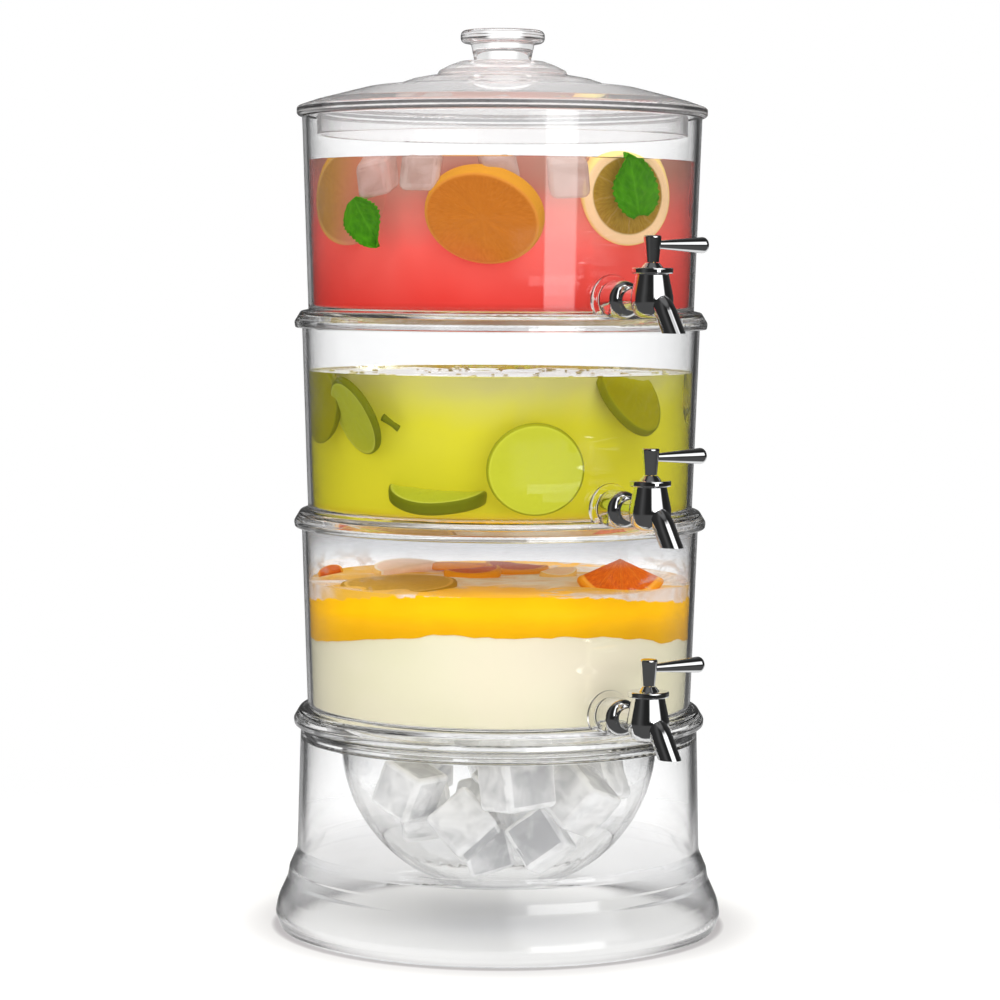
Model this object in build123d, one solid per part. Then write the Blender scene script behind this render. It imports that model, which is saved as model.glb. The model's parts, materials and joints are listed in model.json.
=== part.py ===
from build123d import *
from math import sqrt
import os

# A juice dispenser of three clear tiers stacked on a flared stand with an ice bowl, each tier with its own tap.
# Millimetres, +Z up, origin on the stack's axis at the table top. The taps face -Y.

# Stack
tier_names = ["bottom", "middle", "top"]
tier_pitch = 125.0  # from one seat to the next
base_height = 135.0  # table to the first seat
rim_radius = 125.3  # outside of every rim
wall = 3.0  # wall of the clear mouldings
rim_round = 1.0

# Fits
skirt_clearance = 0.6  # skirt around the rim below
flange_clearance = 0.9  # bowl flange inside the base
running_clearance = 0.05  # radial, for turning and threaded fits
plug_play = 0.2  # valve plug below the bonnet's hub
ring_play = 0.2  # sides of the O-ring in its groove
post_play = 0.3  # tap post above the bonnet's cone

# Tier
wall_draft = 4.1  # how much wider a tier is at its rim than at its foot
floor_thickness = 3.5
floor_round = 4.0
ledge_height = 3.5  # outer edge of the skirt's ledge above the seat
ledge_rise = 1.1  # how much the ledge climbs to the wall
ledge_width = 4.8
ledge_round = 2.5
skirt_wall = 4.1
skirt_depth = 7.0
skirt_tip_drop = 3.2  # widest place of the skirt below the seat
skirt_tip_round = 3.0
skirt_tuck = 0.6  # how much the skirt draws in below its widest place
skirt_edge_round = 1.2
ring_gap = 5.8  # between a rim's inside and the ring that drops into it
ring_depth = 8.0  # locating ring below a tier's floor

# Lid
lip_overhang = 3.4  # lip beyond the rim
lip_height = 5.8
lip_round = 2.4
lid_ring_depth = 12.0
brim_inset = 11.7  # lip edge to the top of the brim
brim_rise = 4.0  # each rise is from the corner outside it
brim_round = 4.0
dome_knee = 0.65  # share of the dome's run after which it levels off
dome_knee_rise = 8.4
dome_knee_round = 40.0
dome_rise = 1.7
step_run = 11.1
step_rise = 3.8
step_round = 4.0
shoulder_run = 14.5
shoulder_rise = 2.6
shoulder_round = 1.2
crown_radius = 41.0
crown_step_run = 1.4
crown_step_rise = 2.6
crown_bend_run = 6.1
crown_bend_rise = 3.1
crown_bend_round = 4.0
crown_top_run = 7.1
crown_top_rise = 2.6
crown_round = 1.2

# Lid knob
knob_foot_radius = 17.5
knob_neck_radius = 20.0
knob_neck_height = 11.4
knob_radius = 26.3
knob_thickness = 8.0
knob_round = 3.2
knob_dish_radius = 18.5
knob_dish_depth = 1.6
knob_dish_round = 1.0
knob_neck_round = 1.5
knob_spigot_radius = 6.0

# Base
neck_flare = 2.4  # foot of the straight wall beyond the rim
neck_rise = 11.0  # each rise is from the corner below it
neck_round = 14.0
bead_flare = 4.8  # ridge around the flare, beyond the wall's foot
bead_rise = 7.0
bead_round = 2.0
hollow_flare = 1.2  # crease below the ridge, beyond the ridge
hollow_rise = 13.5
hollow_round = 6.0
bulge_flare = 6.1  # bulge beyond the crease
bulge_rise = 8.5
bulge_round = 30.0
foot_flare = 1.6  # foot beyond the bulge
foot_height = 8.0
foot_round = 6.0
foot_tuck = 3.0  # how much the foot draws in to the table
sole_round = 1.5
sole_width = 4.6  # before its roundings, which leave a flat ring to stand on
shelf_width = 6.6  # ledge that carries the bowl
shelf_thickness = 3.0

# Ice bowl
bowl_radius = 100.0
bowl_flat = 6.0  # flat middle of the bowl's bottom
bowl_wall = 2.5
flange_thickness = 3.0
flange_round = 1.0
bowl_gap = 1.0  # bowl flange below the locating ring above it

# Tap mount
nut_across_flats = 16.0
nut_thickness = 5.0
nut_chamfer = 0.8
nut_room = 0.8  # nut corners to the pocket's wall
pocket_floor = 2.5  # seat plane to the low side of the pocket
boss_wall = 5.0
boss_setback = 7.0  # boss face inside the skirt's widest place
boss_end_wall = 3.0
boss_round = 1.5
washer_radius = 10.8
washer_thickness = 1.5
inner_washer_radius = 9.2
inner_washer_thickness = 1.5

# Tap
shank_radius = 5.0
shank_tail = 1.0  # shank beyond the nut
port_radius = 3.4
collar_radius = 11.4
collar_room = 0.4  # around the collar where it sinks into the ledge
collar_length = 15.0
collar_round = 5.5
collar_edge_round = 0.8
throat_radius = 6.8
throat_length = 10.0
barrel_radius = 13.0
barrel_top_radius = 9.7
barrel_top = 15.5  # above the tap's axis
barrel_drop = 10.5  # below the tap's axis
barrel_base_inset = 2.6
barrel_base_round = 7.4
barrel_belly_round = 16.0
barrel_floor = 3.3
valve_radius = 6.5
spout_radius = 6.5
spout_wall = 2.1
spout_start = 2.0  # spout's centre line in front of the barrel's axis
spout_rise = 2.0
spout_knee = 12.5
spout_knee_drop = 5.0
spout_reach = 25.8
spout_drop = 24.7
spout_bend = 24.0
spout_mouth = 19.1  # level cut across the spout, below the tap's axis
bonnet_radius = 12.3
bonnet_thickness = 3.5
bonnet_round = 0.9
hub_depth = 3.2
cone_foot_radius = 6.6
cone_head_radius = 4.2
cone_height = 2.9
stem_radius = 2.2
groove_depth = 1.3
groove_width = 2.0
groove_inset = 1.6  # groove below the plug's top
plug_round = 0.4
post_length = 15.8
post_foot_radius = 3.9
post_head_radius = 5.4
post_round = 1.2
lever_rise = 10.3  # lever above the post's foot
lever_length = 39.2  # from the post's axis to the lever's tip
lever_root_radius = 2.5
lever_tip_radius = 5.0
lever_tip_round = 3.0
lever_seat = 4.4  # lever's shoulder from the post's axis
pin_radius = 1.2
pin_reach = 1.2  # pin beyond the stem's axis
stem_cover = 2.5  # stem above the lever's axis

# Sizes that follow
tier_foot_radius = rim_radius - wall_draft
skirt_inner = rim_radius + skirt_clearance
skirt_outer = skirt_inner + skirt_wall
ring_outer = rim_radius - wall - ring_gap
ring_inner = ring_outer - wall
lid_seat = base_height + tier_pitch * len(tier_names)
brim_height = lip_height + brim_rise
dome_knee_height = brim_height + dome_knee_rise
dome_height = dome_knee_height + dome_rise
step_height = dome_height + step_rise
shoulder_height = step_height + shoulder_rise
crown_step_height = shoulder_height + crown_step_rise
crown_bend_height = crown_step_height + crown_bend_rise
crown_height = crown_bend_height + crown_top_rise
crown_step_radius = crown_radius - crown_step_run
crown_bend_radius = crown_step_radius - crown_bend_run
crown_top_radius = crown_bend_radius - crown_top_run
neck_radius = rim_radius + neck_flare
bead_radius = neck_radius + bead_flare
hollow_radius = bead_radius + hollow_flare
bulge_radius = hollow_radius + bulge_flare
foot_radius = bulge_radius + foot_flare
bulge_height = foot_height + bulge_rise
hollow_height = bulge_height + hollow_rise
bead_height = hollow_height + bead_rise
neck_height = bead_height + neck_rise
bowl_seat = base_height - ring_depth - bowl_gap - flange_thickness
pocket_radius = nut_across_flats / sqrt(3) + nut_room
boss_radius = pocket_radius + boss_wall
tap_height = pocket_radius + pocket_floor
boss_face = skirt_outer - boss_setback
shank_inside = boss_end_wall + inner_washer_thickness + nut_thickness + shank_tail
collar_end = washer_thickness + collar_length
barrel_offset = collar_end + throat_length + barrel_radius
valve_floor = barrel_floor - barrel_drop
plug_radius = valve_radius - running_clearance
plug_top = barrel_top - hub_depth - plug_play
cone_top = barrel_top + bonnet_thickness + cone_height
post_foot = cone_top + post_play
lever_height = post_foot + lever_rise
stem_top = lever_height + stem_cover


def turned(*corners):
    # A solid turned about Z from its section's (radius, height, rounding) corners
    points = [(radius, height) for radius, height, rounding in corners]
    roundings = [rounding for radius, height, rounding in corners]
    outline = FilletPolyline(*points, radius=roundings, close=True)
    return revolve(Plane.XZ * make_face(outline), Axis.Z)


def rod(radius, start, end):
    # A cylinder along the tap's axis, between two distances in front of the boss face
    return Pos(0, -start, 0) * extrude(Plane.XZ * Circle(radius), end - start)


def bar(radius, start, end):
    # A cylinder along +X between two distances from the post's axis
    return Pos(start, 0, 0) * extrude(Plane.YZ * Circle(radius), end - start)


def base_wall_radius(height):
    # Outside of the base's straight wall at a height
    share = (base_height - height) / (base_height - neck_height)
    return rim_radius + (neck_radius - rim_radius) * share


def base():
    shelf_outer = base_wall_radius(bowl_seat) - wall
    shelf_inner = shelf_outer - shelf_width
    shelf_under = bowl_seat - shelf_thickness
    return turned(
        (rim_radius, base_height, rim_round),
        (neck_radius, neck_height, neck_round),
        (bead_radius, bead_height, bead_round),
        (hollow_radius, hollow_height, hollow_round),
        (bulge_radius, bulge_height, bulge_round),
        (foot_radius, foot_height, foot_round),
        (foot_radius - foot_tuck, 0, sole_round),
        (foot_radius - foot_tuck - sole_width, 0, rim_round),
        (foot_radius - wall, foot_height, foot_round),
        (bulge_radius - wall, bulge_height, bulge_round),
        (hollow_radius - wall, hollow_height, hollow_round),
        (bead_radius - wall, bead_height, bead_round),
        (neck_radius - wall, neck_height, neck_round),
        (base_wall_radius(shelf_under) - wall, shelf_under, rim_round),
        (shelf_inner, shelf_under, rim_round),
        (shelf_inner, bowl_seat, rim_round),
        (shelf_outer, bowl_seat, 0),
        (rim_radius - wall, base_height, rim_round),
    )


def ice_bowl():
    flange_outer = base_wall_radius(bowl_seat) - wall - flange_clearance
    flange_top = bowl_seat + flange_thickness
    bottom = bowl_seat - bowl_radius
    inside = bowl_radius - bowl_wall
    bend = bowl_radius - bowl_flat
    return turned(
        (0, bottom, 0),
        (bowl_radius, bottom, bend),
        (bowl_radius, bowl_seat, 0),
        (flange_outer, bowl_seat, flange_round),
        (flange_outer, flange_top, flange_round),
        (inside, flange_top, flange_round),
        (inside, bottom + bowl_wall, bend - bowl_wall),
        (0, bottom + bowl_wall, 0),
    )


def skirted_floor():
    # Floor, wall and skirt of one vessel, with its seat plane at z = 0
    return turned(
        (0, 0, 0),
        (skirt_inner, 0, 0),
        (skirt_inner, -skirt_depth, 0),
        (skirt_outer - skirt_tuck, -skirt_depth, skirt_edge_round),
        (skirt_outer, -skirt_tip_drop, skirt_tip_round),
        (tier_foot_radius + ledge_width, ledge_height, ledge_round),
        (tier_foot_radius, ledge_height + ledge_rise, 0),
        (rim_radius, tier_pitch, rim_round),
        (rim_radius - wall, tier_pitch, rim_round),
        (tier_foot_radius - wall, floor_thickness, floor_round),
        (0, floor_thickness, 0),
    )


def below_seat():
    # Everything of a tier that hangs under its seat plane
    return Pos(0, 0, -skirt_depth) * extrude(Circle(skirt_outer + wall), skirt_depth)


def tier():
    # One vessel above its seat plane, with the boss for its tap and a hollow in the ledge for the tap's collar
    boss_root = tier_foot_radius - wall / 2
    pocket_root = tier_foot_radius - wall - floor_round
    lift = Pos(0, 0, tap_height)
    boss = lift * rod(boss_radius, boss_root, boss_face)
    boss = fillet(boss.edges().group_by(Axis.Y)[0], boss_round)
    pocket = lift * rod(pocket_radius, pocket_root, boss_face - boss_end_wall)
    shank_hole = lift * rod(shank_radius + running_clearance, boss_root, boss_face)
    collar_hollow = lift * rod(collar_radius + collar_room, boss_face, skirt_outer + wall)
    return (skirted_floor() + boss) - below_seat() - pocket - shank_hole - collar_hollow


def tier_skirt():
    # The lower half of the skirt, bonded on under the ledge, around the rim below
    return skirted_floor() & below_seat()


def tier_ring():
    # The locating ring, bonded on under the floor, inside the rim below
    return turned(
        (ring_inner, -ring_depth, 0),
        (ring_outer, -ring_depth, 0),
        (ring_outer, 0, 0),
        (ring_inner, 0, 0),
    )


def lid():
    # The lid with its seat plane at z = 0
    lip_radius = rim_radius + lip_overhang
    brim_radius = lip_radius - brim_inset
    step_foot = crown_radius + shoulder_run + step_run
    knee_radius = brim_radius - (brim_radius - step_foot) * dome_knee
    dome = [
        (knee_radius, dome_knee_height, dome_knee_round),
        (step_foot, dome_height, step_round),
        (crown_radius + shoulder_run, step_height, step_round),
        (crown_radius, shoulder_height, shoulder_round),
        (crown_step_radius, crown_step_height, shoulder_round),
        (crown_bend_radius, crown_bend_height, crown_bend_round),
        (crown_top_radius, crown_height, crown_round),
    ]
    under_dome = [(radius - wall / 2, height - wall, rounding) for radius, height, rounding in dome]
    spigot_hole = knob_spigot_radius + running_clearance
    return turned(
        (ring_outer, 0, 0),
        (lip_radius, 0, lip_round),
        (lip_radius, lip_height, lip_round),
        (brim_radius, brim_height, brim_round),
        *dome,
        (spigot_hole, crown_height, 0),
        (spigot_hole, crown_height - wall, 0),
        *reversed(under_dome),
        (ring_inner, brim_height - wall, rim_round),
        (ring_inner, -lid_ring_depth, rim_round),
        (ring_outer, -lid_ring_depth, rim_round),
    )


def lid_knob():
    # The knob above the lid's flat top, with its spigot down through the crown
    disc_under = crown_height + knob_neck_height
    disc_top = disc_under + knob_thickness
    return turned(
        (0, crown_height - wall, 0),
        (knob_spigot_radius, crown_height - wall, 0),
        (knob_spigot_radius, crown_height, 0),
        (knob_foot_radius, crown_height, 0),
        (knob_neck_radius, disc_under, knob_neck_round),
        (knob_radius, disc_under, knob_round),
        (knob_radius, disc_top, knob_round),
        (knob_dish_radius, disc_top, knob_dish_round),
        (knob_dish_radius, disc_top - knob_dish_depth, knob_dish_round),
        (0, disc_top - knob_dish_depth, 0),
    )


def tap_body():
    # Shank, throat, valve barrel and spout in one casting, from the boss face outwards
    at_barrel = Pos(0, -barrel_offset, 0)
    barrel = turned(
        (0, -barrel_drop, 0),
        (barrel_radius - barrel_base_inset, -barrel_drop, barrel_base_round),
        (barrel_radius, 0, barrel_belly_round),
        (barrel_top_radius, barrel_top, 0),
        (0, barrel_top, 0),
    )
    route = FilletPolyline(
        (0, -spout_start, spout_rise),
        (0, -spout_knee, -spout_knee_drop),
        (0, -spout_reach, -spout_drop),
        radius=spout_bend,
    )
    mouth = Plane(route @ 0, z_dir=route % 0)
    spout = sweep(mouth * Circle(spout_radius), route)
    spout_bore = sweep(mouth * Circle(spout_radius - spout_wall), route)
    below_mouth = Pos(0, -spout_reach, -spout_drop - spout_radius) * Circle(spout_reach)
    below_mouth = extrude(below_mouth, spout_drop + spout_radius - spout_mouth)
    valve_bore = Pos(0, 0, valve_floor) * extrude(Circle(valve_radius), barrel_top - valve_floor)
    shank = rod(shank_radius, -shank_inside, collar_end)
    throat = rod(throat_radius, collar_end, barrel_offset)
    inlet = rod(port_radius, -shank_inside, barrel_offset)
    solid = shank + throat + at_barrel * (barrel + spout)
    return solid - inlet - at_barrel * valve_bore - at_barrel * spout_bore - at_barrel * below_mouth


def tap_collar():
    bore = shank_radius + running_clearance
    return Rot(90, 0, 0) * turned(
        (bore, washer_thickness, 0),
        (collar_radius, washer_thickness, collar_edge_round),
        (collar_radius, collar_end, collar_round),
        (bore, collar_end, 0),
    )


def washer(radius, start, thickness):
    hole = rod(shank_radius + running_clearance, start, start + thickness)
    return rod(radius, start, start + thickness) - hole


def tap_lock_nut():
    start = -boss_end_wall - inner_washer_thickness - nut_thickness
    hexagon = RegularPolygon(nut_across_flats / 2, 6, major_radius=False)
    nut = Pos(0, -start, 0) * extrude(Plane.XZ * hexagon, nut_thickness)
    nut = chamfer(nut.edges().group_by(Axis.Y)[-1], nut_chamfer)
    return nut - rod(shank_radius + running_clearance, start, start + nut_thickness)


def tap_bonnet():
    bore = stem_radius + running_clearance
    hub = valve_radius - running_clearance
    disc_top = barrel_top + bonnet_thickness
    return turned(
        (bore, barrel_top - hub_depth, 0),
        (hub, barrel_top - hub_depth, 0),
        (hub, barrel_top, 0),
        (bonnet_radius, barrel_top, bonnet_round),
        (bonnet_radius, disc_top, bonnet_round),
        (cone_foot_radius, disc_top, 0),
        (cone_head_radius, cone_top, 0),
        (bore, cone_top, 0),
    )


def tap_valve_plug():
    # The plug stands on the barrel's floor, shut: its port lies across the flow, under the lever
    groove_top = plug_top - groove_inset
    groove_foot = groove_top - groove_width
    plug = turned(
        (0, valve_floor, 0),
        (plug_radius, valve_floor, plug_round),
        (plug_radius, groove_foot, 0),
        (plug_radius - groove_depth, groove_foot, 0),
        (plug_radius - groove_depth, groove_top, 0),
        (plug_radius, groove_top, 0),
        (plug_radius, plug_top, plug_round),
        (stem_radius, plug_top, 0),
        (stem_radius, stem_top, plug_round),
        (0, stem_top, 0),
    )
    port = bar(port_radius, -valve_radius, valve_radius)
    pin_end = pin_reach + running_clearance
    pin_hole = Pos(0, 0, lever_height) * bar(pin_radius + running_clearance, -pin_end, stem_radius)
    return plug - port - pin_hole


def tap_o_ring():
    top = plug_top - groove_inset - ring_play
    foot = top - groove_width + 2 * ring_play
    inner = plug_radius - groove_depth + running_clearance
    rounding = (plug_radius - inner) / 3
    return turned(
        (inner, foot, rounding),
        (plug_radius, foot, rounding),
        (plug_radius, top, rounding),
        (inner, top, rounding),
    )


def tap_post():
    post_top = post_foot + post_length
    post = turned(
        (0, post_foot, 0),
        (post_foot_radius, post_foot, 0),
        (post_head_radius, post_top, post_round),
        (0, post_top, 0),
    )
    socket_depth = stem_top + running_clearance - post_foot
    socket = Pos(0, 0, post_foot) * extrude(Circle(stem_radius + running_clearance), socket_depth)
    at_lever = Pos(0, 0, lever_height)
    pin_hole = at_lever * bar(pin_radius + running_clearance, 0, lever_seat)
    spot_face = at_lever * bar(lever_root_radius + running_clearance, lever_seat, lever_length)
    return post - socket - pin_hole - spot_face


def tap_lever():
    lever = turned(
        (0, -pin_reach, 0),
        (pin_radius, -pin_reach, 0),
        (pin_radius, lever_seat, 0),
        (lever_root_radius, lever_seat, 0),
        (lever_tip_radius, lever_length, lever_tip_round),
        (0, lever_length, 0),
    )
    return Pos(0, 0, lever_height) * Rot(0, 90, 0) * lever


def tap():
    # Every piece of one tap, placed from the centre of the boss face
    at_barrel = Pos(0, -barrel_offset, 0)
    inner_washer_start = -boss_end_wall - inner_washer_thickness
    return {
        "tap_body": tap_body(),
        "tap_collar": tap_collar(),
        "tap_outer_washer": washer(washer_radius, 0, washer_thickness),
        "tap_inner_washer": washer(inner_washer_radius, inner_washer_start, inner_washer_thickness),
        "tap_lock_nut": tap_lock_nut(),
        "tap_bonnet": at_barrel * tap_bonnet(),
        "tap_valve_plug": at_barrel * tap_valve_plug(),
        "tap_o_ring": at_barrel * tap_o_ring(),
        "tap_post": at_barrel * tap_post(),
        "tap_lever": at_barrel * tap_lever(),
    }


def dispenser():
    pieces = {"base": base(), "ice_bowl": ice_bowl()}
    tier_pieces = {"tier": tier(), "tier_skirt": tier_skirt(), "tier_ring": tier_ring()}
    tap_pieces = tap()
    for number, name in enumerate(tier_names):
        seat = base_height + number * tier_pitch
        for piece_name, piece in tier_pieces.items():
            pieces[f"{name}_{piece_name}"] = Pos(0, 0, seat) * piece
        at_boss = Pos(0, -boss_face, seat + tap_height)
        for piece_name, piece in tap_pieces.items():
            pieces[f"{name}_{piece_name}"] = at_boss * piece
    pieces["lid"] = Pos(0, 0, lid_seat) * lid()
    pieces["lid_knob"] = Pos(0, 0, lid_seat) * lid_knob()
    return pieces


os.makedirs("parts", exist_ok=True)
for node_name, node in dispenser().items():
    export_step(node, f"parts/{node_name}.step")
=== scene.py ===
import itertools
import json
import math
import random
import bpy
import bmesh
from mathutils import Matrix, Quaternion, Vector, noise


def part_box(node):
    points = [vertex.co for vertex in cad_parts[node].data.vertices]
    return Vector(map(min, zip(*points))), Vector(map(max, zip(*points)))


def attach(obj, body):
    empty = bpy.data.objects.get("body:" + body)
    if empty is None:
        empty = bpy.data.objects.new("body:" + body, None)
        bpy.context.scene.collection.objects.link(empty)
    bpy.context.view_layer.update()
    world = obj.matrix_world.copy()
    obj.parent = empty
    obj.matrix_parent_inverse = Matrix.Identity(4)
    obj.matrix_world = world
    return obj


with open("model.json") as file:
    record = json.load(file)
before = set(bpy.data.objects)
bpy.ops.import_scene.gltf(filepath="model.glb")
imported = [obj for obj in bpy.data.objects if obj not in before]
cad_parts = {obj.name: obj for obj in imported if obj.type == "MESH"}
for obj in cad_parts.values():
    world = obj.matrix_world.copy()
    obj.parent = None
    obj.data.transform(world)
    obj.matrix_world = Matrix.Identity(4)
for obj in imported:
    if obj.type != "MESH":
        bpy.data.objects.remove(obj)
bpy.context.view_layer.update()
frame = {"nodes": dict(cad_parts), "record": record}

random.seed(11)
scene = bpy.context.scene
print("frame loaded,", len(frame["nodes"]), "solids")

# inside of a vessel, measured up from its seat
vessel = {"floor": 0.0035, "footRadius": 0.1182, "rim": 0.125, "rimRadius": 0.1223, "corner": 0.004}
tierNames = ("bottom", "middle", "top")
seat = {name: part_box(name + "_tier")[1].z - vessel["rim"] for name in tierNames}


def wallRadius(height):
    share = (height - vessel["floor"]) / (vessel["rim"] - vessel["floor"])
    return vessel["footRadius"] + (vessel["rimRadius"] - vessel["footRadius"]) * share


# a direction by its bearing, 0 towards the camera and growing to the camera's right, and its rise
cameraTurn = -33.0


def cameraWay(bearing, up):
    turn = math.radians(cameraTurn + bearing)
    rise = math.radians(up)
    return Vector((math.sin(turn) * math.cos(rise), -math.cos(turn) * math.cos(rise), math.sin(rise)))


# node helpers

def plug(tree, node, key, value):
    if isinstance(value, bpy.types.NodeSocket):
        tree.links.new(value, node.inputs[key])
    else:
        node.inputs[key].default_value = value


def addNode(tree, kind, inputs=None, **options):
    node = tree.nodes.new(kind)
    for key, value in options.items():
        setattr(node, key, value)
    for key, value in (inputs or {}).items():
        plug(tree, node, key, value)
    return node


def maths(tree, operation, first, second=0.0):
    return addNode(tree, "ShaderNodeMath", {0: first, 1: second}, operation=operation).outputs[0]


def times(tree, first, second):
    return maths(tree, "MULTIPLY", first, second)


def minus(tree, first, second):
    return maths(tree, "SUBTRACT", first, second)


def remap(tree, value, fromLow, fromHigh, low=0.0, high=1.0, smooth=True):
    node = addNode(
        tree,
        "ShaderNodeMapRange",
        {"Value": value, "From Min": fromLow, "From Max": fromHigh, "To Min": low, "To Max": high},
        interpolation_type="SMOOTHSTEP" if smooth else "LINEAR",
    )
    return node.outputs["Result"]


def fade(tree, value, start, end):
    return remap(tree, value, start, end, 1.0, 0.0)


def ramp(tree, value, stops):
    node = addNode(tree, "ShaderNodeValToRGB", {"Fac": value})
    elements = node.color_ramp.elements
    while len(elements) < len(stops):
        elements.new(0.5)
    for element, (place, colour) in zip(elements, stops):
        element.position = place
        element.color = (*colour, 1)
    return node.outputs["Color"]


def twoTone(tree, value, dark, light, span=(0.3, 0.7)):
    return ramp(tree, value, list(zip(span, (dark, light))))


def mixColour(tree, share, first, second):
    node = addNode(tree, "ShaderNodeMix", {0: share}, data_type="RGBA")
    for number, value in ((6, first), (7, second)):
        plug(tree, node, number, value if isinstance(value, bpy.types.NodeSocket) else (*value, 1))
    return node.outputs[2]


def noiseAt(tree, vector, scale, detail=3.0, distortion=0.0):
    inputs = {"Vector": vector, "Scale": scale, "Detail": detail, "Distortion": distortion}
    return addNode(tree, "ShaderNodeTexNoise", inputs).outputs[0]


def vectorMaths(tree, operation, first, second=(0, 0, 0)):
    return addNode(tree, "ShaderNodeVectorMath", {0: first, 1: second}, operation=operation).outputs


def lengthOf(tree, vector):
    return vectorMaths(tree, "LENGTH", vector)["Value"]


def outOf(tree, vector):  # distance from the stack's axis
    return lengthOf(tree, vectorMaths(tree, "MULTIPLY", vector, (1, 1, 0))["Vector"])


def upOf(tree, vector):
    return addNode(tree, "ShaderNodeSeparateXYZ", {"Vector": vector}).outputs["Z"]


def alongOf(tree, vector, direction):
    return vectorMaths(tree, "DOT_PRODUCT", vector, direction)["Value"]


def newGroup(name, inputs, outputs):
    group = bpy.data.node_groups.new(name, "ShaderNodeTree")
    for side, sockets in (("INPUT", inputs), ("OUTPUT", outputs)):
        for socket in sockets:
            kind = "NodeSocketVector" if socket == "Vector" else "NodeSocketFloat"
            group.interface.new_socket(name=socket, in_out=side, socket_type=kind)
    return group, group.nodes.new("NodeGroupInput").outputs, group.nodes.new("NodeGroupOutput").inputs


def useGroup(tree, group, **inputs):
    return addNode(tree, "ShaderNodeGroup", inputs, node_tree=group).outputs


def newMaterial(name, **sockets):
    material = bpy.data.materials.new(name)
    material.use_nodes = True
    tree = material.node_tree
    shader = tree.nodes["Principled BSDF"]
    for key, value in sockets.items():
        shader.inputs[key.replace("_", " ")].default_value = value
    return material, tree, shader, addNode(tree, "ShaderNodeTexCoord").outputs["Object"]


# emission strength is a painted glow: light the part gives though it is no lamp
def softMaterial(name, rough, gloss, paintedGlow=0.0):
    return newMaterial(name, Roughness=rough, Specular_IOR_Level=gloss, Emission_Strength=paintedGlow)


# a painted glow takes the surface colour as its emission colour
def paint(tree, shader, tone, withPaintedGlow=False):
    plug(tree, shader, "Base Color", tone)
    if withPaintedGlow:
        plug(tree, shader, "Emission Color", tone)


def addBump(tree, shader, height, strength, distance):
    bump = addNode(tree, "ShaderNodeBump", {"Strength": strength, "Distance": distance, "Height": height})
    plug(tree, shader, "Normal", bump.outputs["Normal"])


# a roughness that wanders between two values, and the height it follows
traceSpan = (0.35, 0.68)  # where the noise mostly lies


def surfaceTraces():
    group, entry, leave = newGroup(
        "surfaceTraces", ("Vector", "Scale", "Low", "High"), ("Roughness", "Height")
    )
    broad = noiseAt(group, entry["Vector"], entry["Scale"], detail=5.0)
    group.links.new(remap(group, broad, *traceSpan, entry["Low"], entry["High"]), leave["Roughness"])
    group.links.new(broad, leave["Height"])
    return group


# what hangs in a juice takes on its colour with depth from the wall
def depthHaze():
    group, entry, leave = newGroup("depthHaze", ("Vector", "Clear", "Deep"), ("Haze",))
    out = outOf(group, entry["Vector"])
    group.links.new(fade(group, out, entry["Deep"], entry["Clear"]), leave["Haze"])
    return group


traces = surfaceTraces()
haze = depthHaze()


def within(tree, value, centre, half):
    return addNode(tree, "ShaderNodeMath", {0: value, 1: centre, 2: half}, operation="COMPARE").outputs[0]


# a tier, its skirt and its ring are one moulding, so there is no face where they join
def bondedAlpha(tree, place, look):
    up = upOf(tree, place)
    out = outOf(tree, place)
    level = [within(tree, up, height, look["joinHalf"]) for height in seat.values()]
    ring = [within(tree, out, centre, half) for centre, half in look["bands"]]
    level = maths(tree, "MAXIMUM", maths(tree, "MAXIMUM", level[0], level[1]), level[2])
    joined = times(tree, level, maths(tree, "MAXIMUM", ring[0], ring[1]))
    return minus(tree, 1.0, joined)


def clearPlastic(name, look):
    material, tree, shader, place = newMaterial(name, IOR=1.49, Transmission_Weight=look["clear"])
    marks = useGroup(tree, traces, Vector=place, Scale=look["scale"], Low=look["low"], High=look["high"])
    rough = marks["Roughness"]
    tone = look["colour"]
    for height, half in look.get("shadeLines", ()):  # painted shade: dark lines along the lip's rounded edges
        apart = maths(tree, "ABSOLUTE", minus(tree, upOf(tree, place), height))
        lip = remap(tree, outOf(tree, place), *look["lip"])
        line = times(tree, fade(tree, apart, half * 0.5, half), lip)
        tone = mixColour(tree, line, tone, look["shadeLineColour"])
    if "frost" in look:  # the thick foot is a little frosted, and greyer towards the floor: partly the thicker plastic, partly painted shade
        foot = fade(tree, upOf(tree, place), *look["foot"])
        rough = maths(tree, "ADD", rough, times(tree, foot, look["frost"]))
        tone = mixColour(tree, foot, look["colour"], look["footTintAndShade"])
    else:
        plug(tree, shader, "Alpha", bondedAlpha(tree, place, look))
    # partly real, partly painted shade: the colour darkens towards grazing angles for the longer path through
    # the plastic and for the dark room seen through its edges
    facing = addNode(tree, "ShaderNodeLayerWeight", {"Blend": 0.5}).outputs["Facing"]
    paint(tree, shader, mixColour(tree, remap(tree, facing, *look["edge"]), tone, look["grazingShadeColour"]))
    plug(tree, shader, "Roughness", rough)
    addBump(tree, shader, marks["Height"], look["wave"], look["waveDepth"])
    return material


clearLook = {
    "clear": 1.0, "colour": (0.982, 0.984, 0.986), "low": 0.0, "high": 0.02, "scale": 22.0,
    "wave": 0.03, "waveDepth": 0.001, "edge": (0.72, 0.88), "grazingShadeColour": (0.16, 0.16, 0.165),
    "bands": ((0.115, 0.0016), (0.1282, 0.0024)), "joinHalf": 0.00005,  # joins: middle radius and half width
}
lidLook = clearLook | {
    "clear": 0.88, "edge": (0.93, 0.99), "lip": (0.118, 0.12),
    "shadeLines": ((0.5138, 0.0014), (0.5106, 0.0015)), "shadeLineColour": (0.06, 0.06, 0.062),  # height and half width of each painted shade line
}
standLook = clearLook | {
    "colour": (0.990, 0.991, 0.992), "edge": (0.71, 0.87), "grazingShadeColour": (0.08, 0.08, 0.084),
    "foot": (0.03, 0.062), "footTintAndShade": (0.86, 0.865, 0.875), "frost": 0.1,
}


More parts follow.
